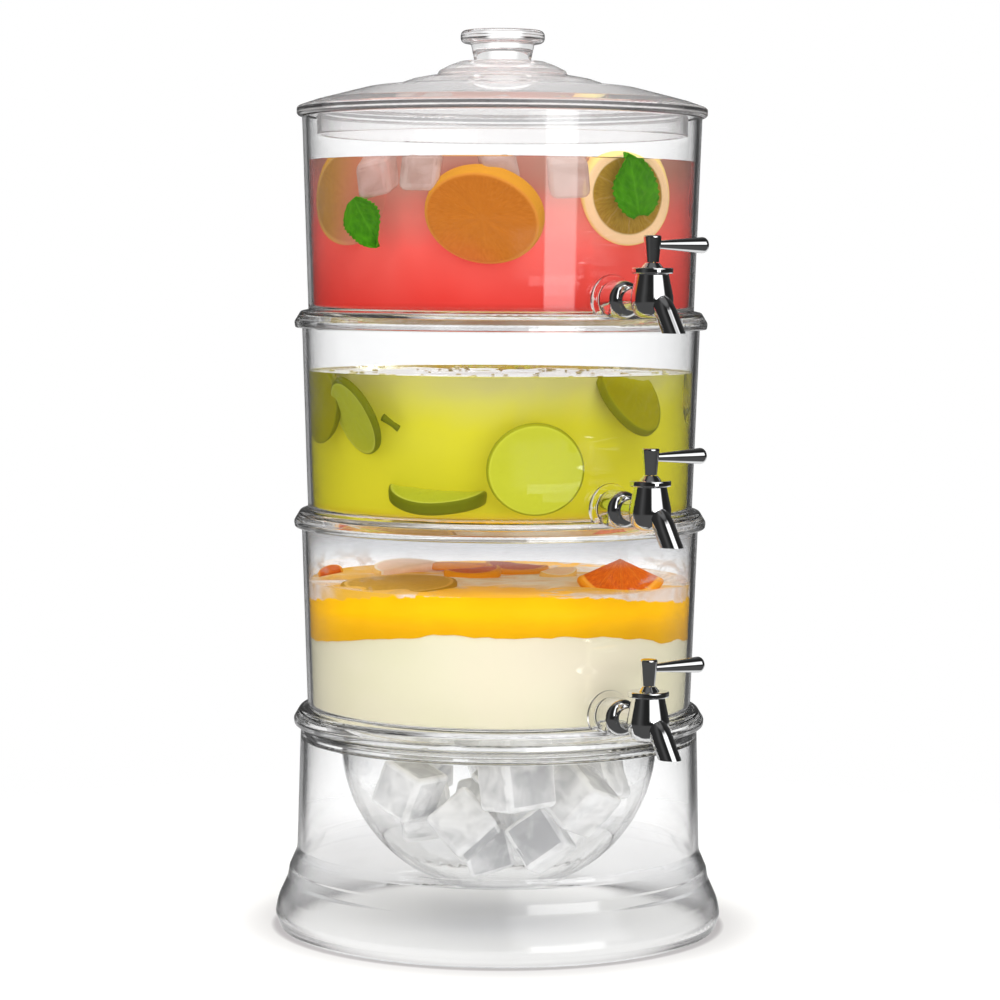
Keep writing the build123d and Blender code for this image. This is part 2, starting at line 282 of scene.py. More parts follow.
def solidFinish(name, metallic, dark, light, low, high, scale, wave, waveDepth):
    material, tree, shader, place = newMaterial(name, Metallic=metallic)
    marks = useGroup(tree, traces, Vector=place, Scale=scale, Low=low, High=high)
    plug(tree, shader, "Roughness", marks["Roughness"])
    paint(tree, shader, twoTone(tree, marks["Height"], dark, light))
    addBump(tree, shader, marks["Height"], wave, waveDepth)
    return material


def metal(name, colour, low, high, scale, wave):
    worn = [tone * 0.94 for tone in colour]
    return solidFinish(name, 1.0, worn, colour, low, high, scale, wave, 0.0005)


def matte(name, dark, light, low, high, scale):
    return solidFinish(name, 0.0, dark, light, low, high, scale, 0.2, 0.0003)


# clear things let the studio's light reach what is in them
def letLightThrough(piece):
    piece.visible_shadow = False
    piece.visible_diffuse = False


finishes = {
    "clear_plastic": clearPlastic("clearPlastic", clearLook),
    "chrome": metal("mirrorChrome", (0.84, 0.845, 0.855), 0.015, 0.06, 90.0, 0.02),
    "brass": metal("turnedBrass", (0.72, 0.5, 0.2), 0.18, 0.34, 160.0, 0.08),
    "rubber": matte("sealRubber", (0.012, 0.012, 0.013), (0.03, 0.03, 0.031), 0.55, 0.8, 300.0),
    "pale_seal": matte("paleSeal", (0.70, 0.69, 0.66), (0.78, 0.77, 0.74), 0.5, 0.7, 300.0),
    "pale_plastic": matte("palePlastic", (0.74, 0.74, 0.72), (0.82, 0.82, 0.80), 0.25, 0.4, 120.0),
}
slotOf = {row["node"]: row["material_slot"] for row in frame["record"]["subparts"]}
for name, node in frame["nodes"].items():
    node.data.materials.clear()
    node.data.materials.append(finishes[slotOf[name]])
    if slotOf[name] == "clear_plastic":
        letLightThrough(node)
frame["nodes"]["base"].data.materials[0] = clearPlastic("clearStand", standLook)
frame["nodes"]["lid"].data.materials[0] = clearPlastic("clearLid", lidLook)
print("finishes on", len(slotOf), "solids")


# pieces

def addObject(name, data):
    item = bpy.data.objects.new(name, data)
    scene.collection.objects.link(item)
    return item


def addMesh(bm, name, material):
    mesh = bpy.data.meshes.new(name)
    bm.to_mesh(mesh)
    bm.free()
    mesh.materials.append(material)
    return addObject(name, mesh)


def finishPiece(bm, name, material, body):
    piece = addMesh(bm, name, material)
    piece.data.shade_smooth()
    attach(piece, body)
    return piece


# place in a tier: bearing seen from above, 0 towards the taps, then out from the axis and up from the seat.
# A flat piece faces outwards at its own bearing, leans its top out, and rolls about its face
def tierPlace(tier, at, turn):
    bearing, out, height = at
    face, lean, roll = turn
    way = math.radians(bearing)
    spot = Matrix.Translation((out * math.sin(way), -out * math.cos(way), seat[tier] + height))
    turned = Matrix.Rotation(math.radians(face), 4, "Z") @ Matrix.Rotation(math.radians(90 + lean), 4, "X")
    return spot @ turned @ Matrix.Rotation(math.radians(roll), 4, "Z")


# a piece in the tier that its name starts with
def setIn(bm, name, material, at=None, turn=None):
    tier = name.split("_")[0]
    place = tierPlace(tier, at, turn) if at else Matrix.Translation((0, 0, seat[tier]))
    bmesh.ops.transform(bm, matrix=place, verts=bm.verts)
    return finishPiece(bm, name, material, tier + "_tier")


def spun(section, steps, arc=360):
    bm = bmesh.new()
    verts = [bm.verts.new((radius, 0, height)) for radius, height in section]
    edges = [bm.edges.new(pair) for pair in zip(verts, verts[1:])]
    whole = arc == 360
    turned = bmesh.ops.spin(
        bm, geom=verts + edges, cent=(0, 0, 0), axis=(0, 0, 1),
        angle=math.radians(arc), steps=steps, use_merge=whole,
    )
    if not whole:
        bm.faces.new(verts)
        bm.faces.new([item for item in turned["geom_last"] if isinstance(item, bmesh.types.BMVert)])
    bmesh.ops.remove_doubles(bm, verts=bm.verts, dist=1e-6)
    bmesh.ops.recalc_face_normals(bm, faces=bm.faces)
    return bm


def mapFlat(bm, layer, spotOf):
    uv = bm.loops.layers.uv.new(layer)
    for face in bm.faces:
        for loop in face.loops:
            loop[uv].uv = spotOf(loop.vert.co)


# what fills a vessel: its steps around, and the waves on its surface inside a calm ring at the wall
fill = {
    "steps": 144, "cornerSteps": 4, "wave": (0.0008, 60), "waveShift": Vector((0, 0, 7)),
    "calmRing": 0.004, "skin": 0.001,
}
surfaceShares = (0.85, 0.7, 0.55, 0.4, 0.25, 0.1, 0)
meniscusSteps = ((0, 1.0), (0.0007, 0.5), (0.002, 0.15), (0.005, 0))  # inward, share of its rise


def surfaceSection(level, gap, rise):
    edge = wallRadius(level) - gap
    section = [(edge - inward, level + rise * share) for inward, share in meniscusSteps]
    return section + [(edge * share, level) for share in surfaceShares]


# section of what fills a vessel from its floor up to a level, a little clear of the wall
def fillSection(level, gap, rise):
    floor = vessel["floor"] + gap
    corner = vessel["corner"]
    foot = wallRadius(floor) - gap
    section = [(0, floor), (foot * 0.5, floor)]
    for step in range(fill["cornerSteps"] + 1):
        turn = math.radians(90 * step / fill["cornerSteps"])
        section.append((foot - corner + corner * math.sin(turn), floor + corner - corner * math.cos(turn)))
    return section + surfaceSection(level, gap, rise)


def ripple(bm, level, height, scale):
    edge = wallRadius(level) - fill["calmRing"]
    for vert in bm.verts:
        if vert.co.z > level - fill["skin"] and vert.co.to_2d().length < edge:
            vert.co.z += height * noise.noise(vert.co * scale + fill["waveShift"])


def fillUp(name, level, gap, rise, material):
    bm = spun(fillSection(level, gap, rise), fill["steps"])
    ripple(bm, level, *fill["wave"])
    return setIn(bm, name, material)


# the cloudy heart of a juice, which the clear layer at the wall magnifies to its edges
cloudForm = {
    "foot": ((0, 0), (0.9, 0), (0.985, 0.002), (1, 0.005)),  # share of the radius, rise
    "top": ((1, 0.004), (0.99, 0.001), (0.96, 0), (0, 0)),  # share of the radius, drop
    "steps": 96,
}


def cloudBody(name, low, high, radius, material):
    section = [(radius * share, low + rise) for share, rise in cloudForm["foot"]]
    section += [(radius * share, high - drop) for share, drop in cloudForm["top"]]
    bm = spun(section, cloudForm["steps"])
    return setIn(bm, name, material)


def clearJuice(name, tint, deep):
    material, tree, shader, place = newMaterial(name, IOR=1.335, Transmission_Weight=1.0, Roughness=0.01)
    cloud = noiseAt(tree, place, scale=18.0, detail=2.0)
    paint(tree, shader, twoTone(tree, cloud, tint, deep, span=(0.35, 0.7)))
    return material


def cloudyJuice(name, tier, look):
    material, tree, shader, place = softMaterial(name, rough=0.9, gloss=0.0, paintedGlow=juiceFit["paintedGlow"])
    cloud = noiseAt(tree, place, scale=26.0, detail=4.0, distortion=0.6)
    drift = times(tree, minus(tree, cloud, 0.5), look["drift"])
    up = maths(tree, "ADD", upOf(tree, place), drift)
    level = remap(tree, up, seat[tier], seat[tier] + look["level"], smooth=False)
    broad = noiseAt(tree, place, scale=9.0, detail=2.0)
    dulled = remap(tree, broad, 0.4, 0.75, 0.0, juiceFit["dullShare"])
    paint(tree, shader, mixColour(tree, dulled, ramp(tree, level, look["stops"]), look["dull"]), True)
    return material


coralJuice = {
    "level": 0.096, "drift": 0.022,
    "tint": (1.0, 0.86, 0.84), "deep": (0.985, 0.80, 0.78), "dull": (0.80, 0.11, 0.10),
    "stops": [
        (0.0, (0.73, 0.04, 0.032)), (0.12, (0.80, 0.055, 0.042)), (0.42, (0.95, 0.135, 0.112)),
        (0.6, (0.76, 0.20, 0.16)), (0.78, (0.49, 0.225, 0.17)), (1.0, (0.41, 0.26, 0.205))],
}
limeJuice = {
    "level": 0.0903, "drift": 0.02,
    "tint": (0.985, 0.985, 0.80), "deep": (0.97, 0.975, 0.74), "dull": (0.62, 0.58, 0.05),
    "stops": [
        (0.0, (0.66, 0.60, 0.025)), (0.2, (0.69, 0.63, 0.03)), (0.6, (0.67, 0.62, 0.035)),
        (0.76, (0.62, 0.58, 0.11)), (0.88, (0.52, 0.48, 0.18)), (1.0, (0.44, 0.41, 0.16))],
}
# the cloud's painted glow stands for light shining through the juice
juiceFit = {
    "gap": 0.0003, "meniscus": 0.0012, "cloudFloor": 0.0055, "cloudDepth": 0.0012, "cloudRadius": 0.0942,
    "paintedGlow": 0.1, "dullShare": 0.35,
}
for tier, look in (("top", coralJuice), ("middle", limeJuice)):
    level = look["level"]
    clear = clearJuice(tier + "JuiceClear", look["tint"], look["deep"])
    letLightThrough(fillUp(tier + "_juice", level, juiceFit["gap"], juiceFit["meniscus"], clear))
    cloudy = cloudyJuice(tier + "JuiceCloud", tier, look)
    cloudTop = level - juiceFit["cloudDepth"]
    cloudBody(tier + "_juice_cloud", juiceFit["cloudFloor"], cloudTop, juiceFit["cloudRadius"], cloudy)
print("clear juices filled")


# creamy drink with an amber layer on it, which has sunk in more at two opposite sides
sideWay = cameraWay(90, 0)
creamDrink = {
    "level": 0.061, "gap": 0.0005, "underAmber": 0.004,
    "cream": [(0.25, (0.72, 0.69, 0.47)), (0.55, (0.76, 0.71, 0.52)), (0.8, (0.79, 0.70, 0.54))],
}
amberLayer = {
    "low": creamDrink["level"], "high": 0.084, "gap": 0.0003, "sink": 0.012, "steps": 180,
    "underside": ((0, 0.004), (0.9, 0.002), (1, 0)),  # share of the radius, rise
    "lowerEdge": 0.001, "ragged": ((0.003, 4.5), (0.0014, 12)), "meniscus": 0.001, "wave": (0.0016, 55),
    "amber": [(0.3, (0.93, 0.46, 0.001)), (0.7, (0.98, 0.51, 0.002))],
}
# froth on the amber layer: along its upper edge, in its middle, and golden in patches
amberFroth = {
    "scale": 46.0, "edgeRise": 0.0025, "edgeSway": 0.012, "edgeBlend": (-0.0004, 0.0006),
    "middleSway": 0.05, "middlePull": 0.034, "middleOut": (0.030, 0.048), "skin": (0.002, 0.001),
    "patchScale": 15.0, "patches": (0.43, 0.54), "patchesOut": (0.035, 0.07),
    "patchColour": (0.78, 0.43, 0.05),
    "foam": [
        (0.3, (0.74, 0.50, 0.32)), (0.45, (0.78, 0.63, 0.53)), (0.6, (0.83, 0.75, 0.70)),
        (0.75, (0.82, 0.63, 0.58))],
}


# the cream drink has a painted glow
def creamLook():
    material, tree, shader, place = softMaterial("creamDrink", rough=0.4, gloss=0.3, paintedGlow=0.06)
    cloud = noiseAt(tree, place, scale=11.0, distortion=0.5)
    paint(tree, shader, ramp(tree, cloud, creamDrink["cream"]), True)
    addBump(tree, shader, noiseAt(tree, place, scale=90.0), 0.05, 0.0006)
    return material


# the amber layer has a painted glow
def amberLook():
    material, tree, shader, place = softMaterial("amberLayer", rough=0.4, gloss=0.04, paintedGlow=0.16)
    side = ramp(tree, noiseAt(tree, place, scale=30.0), amberLayer["amber"])
    froth = noiseAt(tree, place, amberFroth["scale"], detail=5.0, distortion=1.2)
    swing = minus(tree, froth, 0.5)
    out = outOf(tree, place)
    up = upOf(tree, place)
    share = maths(tree, "DIVIDE", alongOf(tree, place, sideWay), out)
    sideShare = times(tree, share, share)  # 1 at the two sides, 0 halfway between them
    surface = seat["bottom"] + amberLayer["high"]
    edge = maths(tree, "ADD", times(tree, sideShare, -amberLayer["sink"]), surface + amberFroth["edgeRise"])
    edge = maths(tree, "ADD", edge, times(tree, swing, amberFroth["edgeSway"]))
    alongEdge = remap(tree, minus(tree, up, edge), *amberFroth["edgeBlend"])
    ragged = maths(tree, "ADD", out, times(tree, swing, amberFroth["middleSway"]))
    ragged = minus(tree, ragged, times(tree, sideShare, amberFroth["middlePull"]))
    middle = fade(tree, ragged, *amberFroth["middleOut"])
    onTop = remap(tree, up, *[surface - depth for depth in amberFroth["skin"]])
    foamy = maths(tree, "MAXIMUM", alongEdge, times(tree, middle, onTop))
    patch = noiseAt(tree, place, amberFroth["patchScale"], distortion=0.8)
    golden = remap(tree, patch, *amberFroth["patches"])
    golden = times(tree, golden, remap(tree, out, *amberFroth["patchesOut"]))
    foam = mixColour(tree, golden, ramp(tree, froth, amberFroth["foam"]), amberFroth["patchColour"])
    paint(tree, shader, mixColour(tree, foamy, side, foam), True)
    addBump(tree, shader, froth, 0.3, 0.0012)
    return material


def pourAmber():
    low, high, gap = (amberLayer[key] for key in ("low", "high", "gap"))
    edge = wallRadius(low) - gap
    section = [(edge * share, low + rise) for share, rise in amberLayer["underside"]]
    bm = spun(section + surfaceSection(high, gap, amberLayer["meniscus"]), amberLayer["steps"])
    for vert in bm.verts:  # ragged lower edge
        if vert.co.z < low + amberLayer["lowerEdge"]:
            around = Vector((vert.co.x, vert.co.y, 0)).normalized()
            vert.co.z += sum(height * noise.noise(around * scale) for height, scale in amberLayer["ragged"])
            vert.co.z -= amberLayer["sink"] * around.dot(sideWay) ** 2
            vert.co.xy = around.xy * (wallRadius(vert.co.z) - gap)
    ripple(bm, high, *amberLayer["wave"])
    return setIn(bm, "bottom_amber_layer", amberLook())


# pulp that clings to the wall above the drink, under a grey veil of painted shade that thickens towards the
# rim
pulpAndShadeFilm = {
    "low": 0.0852, "high": 0.119, "gap": 0.0006, "thick": 0.0004, "steps": 144, "rows": 8,
    "stretch": (1.0, 1.0, 2.4), "patchScale": 34.0, "patches": (0.46, 0.64),
    "smear": 0.4, "smearRise": 0.016, "sides": (0.05, 0.1), "pulp": (0.80, 0.58, 0.50),
    "rimShade": 0.46, "rimShadeLow": 0.099, "drops": (0.44, 0.445, 0.465),
}


def filmLook():
    material, tree, shader, place = softMaterial("pulpAndShadeFilm", rough=0.6, gloss=0.1)
    stretched = addNode(tree, "ShaderNodeMapping", {"Vector": place, "Scale": pulpAndShadeFilm["stretch"]}).outputs[0]
    patches = noiseAt(tree, stretched, pulpAndShadeFilm["patchScale"], detail=4.0, distortion=0.8)
    up = upOf(tree, place)
    low = seat["bottom"] + pulpAndShadeFilm["low"]
    fading = fade(tree, up, low, low + pulpAndShadeFilm["smearRise"])
    smear = times(tree, remap(tree, patches, *pulpAndShadeFilm["patches"]), fading)
    across = maths(tree, "ABSOLUTE", alongOf(tree, place, sideWay))
    smear = times(tree, smear, remap(tree, across, *pulpAndShadeFilm["sides"]))
    rimShadeLow, high = (seat["bottom"] + pulpAndShadeFilm[key] for key in ("rimShadeLow", "high"))
    # painted shade: a grey veil that darkens the wall towards the rim
    rimShade = remap(tree, up, rimShadeLow, high, 0.0, pulpAndShadeFilm["rimShade"])
    veil = maths(tree, "MAXIMUM", times(tree, smear, pulpAndShadeFilm["smear"]), rimShade)
    plug(tree, shader, "Alpha", veil)
    paint(tree, shader, mixColour(tree, smear, pulpAndShadeFilm["drops"], pulpAndShadeFilm["pulp"]))
    return material


def wallFilm():
    low, high, gap, thick, rows = (pulpAndShadeFilm[key] for key in ("low", "high", "gap", "thick", "rows"))
    heights = [low + (high - low) * row / rows for row in range(rows + 1)]
    outer = [(wallRadius(height) - gap, height) for height in heights]
    inner = [(radius - thick, height) for radius, height in reversed(outer)]
    bm = spun(outer + inner + outer[:1], pulpAndShadeFilm["steps"])
    letLightThrough(setIn(bm, "bottom_pulp_film", filmLook()))


creamTop = creamDrink["level"] + creamDrink["underAmber"]
fillUp("bottom_cream_drink", creamTop, creamDrink["gap"], 0.0, creamLook())
pourAmber()
wallFilm()
print("layered drink filled")


# fruit: masks on a slice's own flat map, by share of its radius and by segment
citrusCut = {
    "wander": 0.35, "hub": (0.02, 0.07), "membrane": (0.01, 0.045), "streaks": (9.0, 3.0), "pulpScale": 2.6,
    "edges": (("Pith", 0.05), ("Peel", 0.03)),
}


def citrusFace():
    group, entry, leave = newGroup(
        "citrusFace", ("Vector", "Segments", "Pith", "Peel"), ("Peel", "Pith", "Membrane", "Pulp")
    )
    centred = vectorMaths(group, "SUBTRACT", entry["Vector"], (0.5, 0.5, 0.0))["Vector"]
    parts = addNode(group, "ShaderNodeSeparateXYZ", {"Vector": centred}).outputs
    radius = times(group, lengthOf(group, centred), 2.0)
    angle = maths(group, "ARCTAN2", parts["Y"], parts["X"])
    turns = times(group, times(group, angle, 1 / (2 * math.pi)), entry["Segments"])
    wander = times(group, noiseAt(group, entry["Vector"], scale=6.0, detail=2.0), citrusCut["wander"])
    turns = maths(group, "ADD", turns, wander)
    fromMiddle = maths(group, "ABSOLUTE", minus(group, maths(group, "FRACT", turns), 0.5))
    toEdge = times(group, minus(group, 0.5, fromMiddle), radius)
    between = fade(group, toEdge, *citrusCut["membrane"])
    hub = fade(group, radius, *citrusCut["hub"])
    group.links.new(maths(group, "MAXIMUM", between, hub), leave["Membrane"])
    around, outwards = citrusCut["streaks"]
    streak = {"X": times(group, angle, around), "Y": times(group, radius, outwards)}
    streaked = addNode(group, "ShaderNodeCombineXYZ", streak).outputs[0]
    group.links.new(noiseAt(group, streaked, citrusCut["pulpScale"], detail=4.0), leave["Pulp"])
    for mask, width in citrusCut["edges"]:
        start = minus(group, entry[mask], width)
        group.links.new(remap(group, radius, start, entry[mask]), leave[mask])
    return group


citrusPattern = citrusFace()


def citrusLook(name, look):
    material, tree, shader, place = softMaterial(name, rough=0.5, gloss=0.05, paintedGlow=look["paintedGlow"])
    uv = addNode(tree, "ShaderNodeUVMap", uv_map="slice").outputs["UV"]
    face = useGroup(
        tree, citrusPattern, Vector=uv, Segments=look["segments"],
        Pith=look["pithEdge"], Peel=look["peelEdge"],
    )
    flesh = twoTone(tree, face["Pulp"], look["deep"], look["flesh"])
    cells = mixColour(tree, times(tree, face["Membrane"], look["membraneShare"]), flesh, look["pith"])
    tone = mixColour(tree, face["Peel"], mixColour(tree, face["Pith"], cells, look["pith"]), look["peel"])
    if "juice" in look:
        veil = useGroup(tree, haze, Vector=place, Clear=look["clear"], Deep=look["hidden"])
        tone = mixColour(tree, veil["Haze"], tone, look["juice"])
    paint(tree, shader, tone, True)
    pores = noiseAt(tree, place, scale=900.0, detail=2.0)
    relief = maths(tree, "ADD", times(tree, face["Membrane"], 0.3), pores)
    addBump(tree, shader, relief, 0.1, 0.0004)
    return material


# every slice has a painted glow, some kinds a stronger one
citrusPlain = {"segments": 10.0, "paintedGlow": 0.1, "membraneShare": 0.05}
citrusKinds = {
    "orange": {
        "pithEdge": 0.965, "peelEdge": 0.99, "paintedGlow": 0.12,
        "deep": (0.50, 0.155, 0.012), "flesh": (0.58, 0.20, 0.022), "pith": (0.66, 0.27, 0.04),
        "peel": (0.64, 0.30, 0.03), "juice": (0.86, 0.11, 0.085), "clear": 0.106, "hidden": 0.088},
    "dimOrange": {
        "pithEdge": 0.93, "peelEdge": 0.97,
        "deep": (0.38, 0.20, 0.05), "flesh": (0.48, 0.26, 0.06), "pith": (0.60, 0.36, 0.10),
        "peel": (0.66, 0.36, 0.06), "juice": (0.62, 0.20, 0.15), "clear": 0.112, "hidden": 0.094},
    "paleOrange": {
        "segments": 9.0, "pithEdge": 0.80, "peelEdge": 0.97, "paintedGlow": 0.12, "membraneShare": 0.08,
        "deep": (0.30, 0.18, 0.02), "flesh": (0.44, 0.28, 0.04), "pith": (0.97, 0.70, 0.40),
        "peel": (0.97, 0.76, 0.28), "juice": (0.86, 0.20, 0.15), "clear": 0.100, "hidden": 0.080},
    "lime": {
        "segments": 9.0, "pithEdge": 0.93, "peelEdge": 0.965, "paintedGlow": 0.08, "membraneShare": 0.1,
        "deep": (0.34, 0.37, 0.018), "flesh": (0.42, 0.45, 0.03), "pith": (0.46, 0.49, 0.06),
        "peel": (0.15, 0.165, 0.003), "juice": (0.58, 0.54, 0.025), "clear": 0.104, "hidden": 0.078},
    "darkLime": {
        "segments": 9.0, "pithEdge": 0.95, "peelEdge": 0.98, "paintedGlow": 0.06, "membraneShare": 0.08,
        "deep": (0.27, 0.25, 0.002), "flesh": (0.34, 0.31, 0.003), "pith": (0.30, 0.29, 0.004),
        "peel": (0.20, 0.20, 0.003), "juice": (0.54, 0.49, 0.02), "clear": 0.104, "hidden": 0.080},
    "paleLime": {
        "segments": 9.0, "pithEdge": 0.955, "peelEdge": 0.975, "paintedGlow": 0.08,
        "deep": (0.50, 0.52, 0.03), "flesh": (0.55, 0.57, 0.04), "pith": (0.58, 0.60, 0.05),
        "peel": (0.32, 0.33, 0.008), "juice": (0.66, 0.61, 0.035), "clear": 0.108, "hidden": 0.0945},
    "bloodOrange": {
        "pithEdge": 0.88, "peelEdge": 0.94, "membraneShare": 0.12,
        "deep": (0.52, 0.07, 0.002), "flesh": (0.72, 0.16, 0.006), "pith": (0.84, 0.36, 0.04),
        "peel": (0.80, 0.30, 0.01)},
    "golden": {
        "pithEdge": 0.9, "peelEdge": 0.95, "paintedGlow": 0.08, "membraneShare": 0.15,
        "deep": (0.52, 0.27, 0.03), "flesh": (0.66, 0.38, 0.05), "pith": (0.74, 0.44, 0.10),
        "peel": (0.46, 0.24, 0.02)},
    "grapefruit": {
        "pithEdge": 0.88, "peelEdge": 0.95, "membraneShare": 0.2,
        "deep": (0.90, 0.62, 0.50), "flesh": (0.94, 0.70, 0.58), "pith": (0.95, 0.80, 0.70),
        "peel": (0.84, 0.52, 0.16)},
}
citrus = {kind: citrusLook(kind + "Slice", citrusPlain | look) for kind, look in citrusKinds.items()}


# half a slice's section, by shares of its radius and half its thickness
halfSlice = [
    (0, 0.90), (0.25, 0.93), (0.5, 0.95), (0.75, 0.92), (0.88, 0.98), (0.95, 0.97), (0.99, 0.75), (1, 0.4),
]
sliceSection = halfSlice + [(share, -up) for share, up in reversed(halfSlice)]
sliceForm = {
    "stepAngle": 4, "proud": 0.03, "proudSpan": (0.2, 0.8), "segments": 9,
    "warp": 0.0012, "warpScale": 25, "warpShift": 900,
}


def citrusSlice(name, kind, radius, thick, at, turn, arc=360, squash=1.0):
    section = [(share * radius, up * thick / 2) for share, up in sliceSection]
    bm = spun(section, arc // sliceForm["stepAngle"], arc)
    inner, outer = sliceForm["proudSpan"]
    shift = Vector((radius * sliceForm["warpShift"], 0, 0))
    for vert in bm.verts:  # segments stand a little proud, and no slice is quite flat
        if inner < vert.co.to_2d().length / radius < outer:
            around = math.atan2(vert.co.y, vert.co.x)
            vert.co.z *= 1 + sliceForm["proud"] * math.cos(sliceForm["segments"] * around)
        vert.co.z += sliceForm["warp"] * noise.noise(vert.co * sliceForm["warpScale"] + shift)
    mapFlat(bm, "slice", lambda spot: (spot.x / radius / 2 + 0.5, spot.y / radius / 2 + 0.5))
    bmesh.ops.scale(bm, vec=(1, squash, 1), verts=bm.verts)
    return setIn(bm, name, citrus[kind], at, turn)


slices = [
    ("top_orange_front", "orange", 0.035, 0.013, (-38.5, 0.1020, 0.0605), (-48, 16, -8), 360, 0.80),
    ("top_orange_left", "dimOrange", 0.028, 0.007, (-92, 0.100, 0.0685), (-66, 6, 0)),
    ("top_citrus_right", "paleOrange", 0.030, 0.012, (12.5, 0.0985, 0.072), (-8, 10, 0)),
    ("middle_lime_front", "paleLime", 0.029, 0.004, (-22, 0.108, 0.035), (-24, 4, 0), 360, 0.92),
    ("middle_lime_left", "lime", 0.0255, 0.005, (-86, 0.1050, 0.062), (-102, 25, 0)),
    ("middle_lime_edge", "darkLime", 0.024, 0.006, (-108, 0.106, 0.066), (-98, 4, 0)),
    ("middle_lime_right", "darkLime", 0.024, 0.007, (15, 0.0985, 0.0715), (30, -44, 0)),
    ("middle_lime_floor", "lime", 0.030, 0.008, (-56, 0.086, 0.0200), (-50, -72, 0)),
    ("bottom_orange_a", "bloodOrange", 0.019, 0.006, (180, 0.033, 0.0862), (-33, -83, 200), 180),
    ("bottom_orange_b", "bloodOrange", 0.021, 0.006, (136, 0.060, 0.0868), (-33, -80, 170), 180),
    ("bottom_orange_c", "bloodOrange", 0.030, 0.007, (31, 0.0830, 0.0995), (-33, -36, 207), 124),
    ("bottom_orange_d", "bloodOrange", 0.008, 0.003, (-119, 0.107, 0.0885), (-60, -66, 30), 180),
    ("bottom_orange_e", "bloodOrange", 0.027, 0.005, (166, 0.082, 0.0850), (150, -84, 0)),
    ("bottom_citrus_flat", "golden", 0.036, 0.004, (-90, 0.074, 0.0838), (-60, -86, 0)),
    ("bottom_citrus_pink", "grapefruit", 0.014, 0.007, (96, 0.046, 0.0866), (-20, -70, 210), 150),
    ("bottom_citrus_back", "grapefruit", 0.024, 0.006, (-160, 0.074, 0.0852), (-33, -82, 40), 180),
]
for row in slices:
    citrusSlice(*row)
print("slices cut:", len(slices))


# bits of rind and pulp: a stalk by the left lime, and flecks afloat
stalkForm = {
    "section": ((0, 0), (1, 0), (0.7, 0.6), (0.9, 1), (0, 1)),  # share of the radius, of the length
    "steps": 14,
}
fleckForm = {
    "size": (0.0007, 0.0019), "long": (0.7, 1.8), "flat": 0.35, "out": (0.1, 0.97), "fromWall": 0.004,
    "above": 0.0004,
}


def limeStalk(name, length, radius, at, turn):
    bm = spun([(radius * out, length * up) for out, up in stalkForm["section"]], stalkForm["steps"])
    mapFlat(bm, "slice", lambda spot: (1.0, 0.5))  # all rind
    return setIn(bm, name, citrus["lime"], at, turn)


# flecks have a painted glow
def fleckLook(name, dark, light):
    material, tree, shader, place = softMaterial(name, rough=0.4, gloss=0.3, paintedGlow=0.25)
    cloud = noiseAt(tree, place, scale=130.0)
    paint(tree, shader, twoTone(tree, cloud, dark, light, span=(0.35, 0.65)), True)
    return material


def flecks(name, tier, level, count, material):
    bm = bmesh.new()
    height = seat[tier] + level + fleckForm["above"]
    reach = wallRadius(level) - fleckForm["fromWall"]
    for number in range(count):
        way = random.uniform(0, 2 * math.pi)
        out = reach * math.sqrt(random.uniform(*fleckForm["out"]))
        size = random.uniform(*fleckForm["size"])
        spot = Matrix.Translation((out * math.cos(way), out * math.sin(way), height))
        long = size * random.uniform(*fleckForm["long"])
        shape = Matrix.Diagonal((long, size, size * fleckForm["flat"], 1))
        turn = Matrix.Rotation(random.uniform(0, math.pi), 4, "Z")
        bmesh.ops.create_icosphere(bm, subdivisions=2, radius=1, matrix=spot @ turn @ shape)
    return finishPiece(bm, name, material, tier + "_tier")


limeStalk("middle_lime_stalk", 0.0125, 0.002, (-73, 0.106, 0.0615), (57, 36, 0))
floating = [
    ("middle", limeJuice["level"], 60, "limeFlecks", (0.42, 0.41, 0.16), (0.66, 0.63, 0.38)),
    ("top", coralJuice["level"], 18, "orangeFlecks", (0.26, 0.16, 0.06), (0.55, 0.40, 0.22)),
]
for tier, level, count, name, dark, light in floating:
    flecks(tier + "_flecks", tier, level, count, fleckLook(name, dark, light))
print("bits afloat")


# mint: veins by the leaf's flat map, and the curve of its outline, teeth and buckles
mintTones = {"dark": (0.038, 0.20, 0.002), "light": (0.072, 0.315, 0.005), "vein": (0.12, 0.42, 0.02)}
mintVeins = {
    "midrib": (0.012, 0.04), "side": (0.04, 0.12), "sideShare": 0.8, "slant": 0.7, "pairs": 8.0, "show": 0.25,
}
mintForm = {
    "grid": (12, 30), "thick": 0.0006, "tip": 0.04, "belly": 0.8, "fullness": 0.85,
    "teeth": 75, "toothDepth": 0.07, "toothSharpness": 6,
    "cupRest": 0.3, "buckle": 0.06, "buckles": 9, "droop": 1.2,
}


# the leaf has a painted glow
def mintLook():
    material, tree, shader, place = softMaterial("mintLeaf", rough=0.5, gloss=0.05, paintedGlow=0.14)
    uv = addNode(tree, "ShaderNodeUVMap", uv_map="leaf").outputs["UV"]
    parts = addNode(tree, "ShaderNodeSeparateXYZ", {"Vector": uv}).outputs
    across = maths(tree, "ABSOLUTE", minus(tree, parts["X"], 0.5))
    along = minus(tree, parts["Y"], times(tree, across, mintVeins["slant"]))
    turns = maths(tree, "FRACT", times(tree, along, mintVeins["pairs"]))
    fromVein = maths(tree, "ABSOLUTE", minus(tree, turns, 0.5))
    midrib = fade(tree, across, *mintVeins["midrib"])
    sideVeins = remap(tree, fromVein, *mintVeins["side"], mintVeins["sideShare"], 0.0)
    veins = maths(tree, "MAXIMUM", midrib, sideVeins)
    blotch = noiseAt(tree, uv, scale=7.0, detail=4.0)
    leaf = twoTone(tree, blotch, mintTones["dark"], mintTones["light"], span=(0.35, 0.7))
    paint(tree, shader, mixColour(tree, times(tree, veins, mintVeins["show"]), leaf, mintTones["vein"]), True)
    addBump(tree, shader, maths(tree, "ADD", blotch, veins), 0.3, 0.0008)
    return material


mint = mintLook()


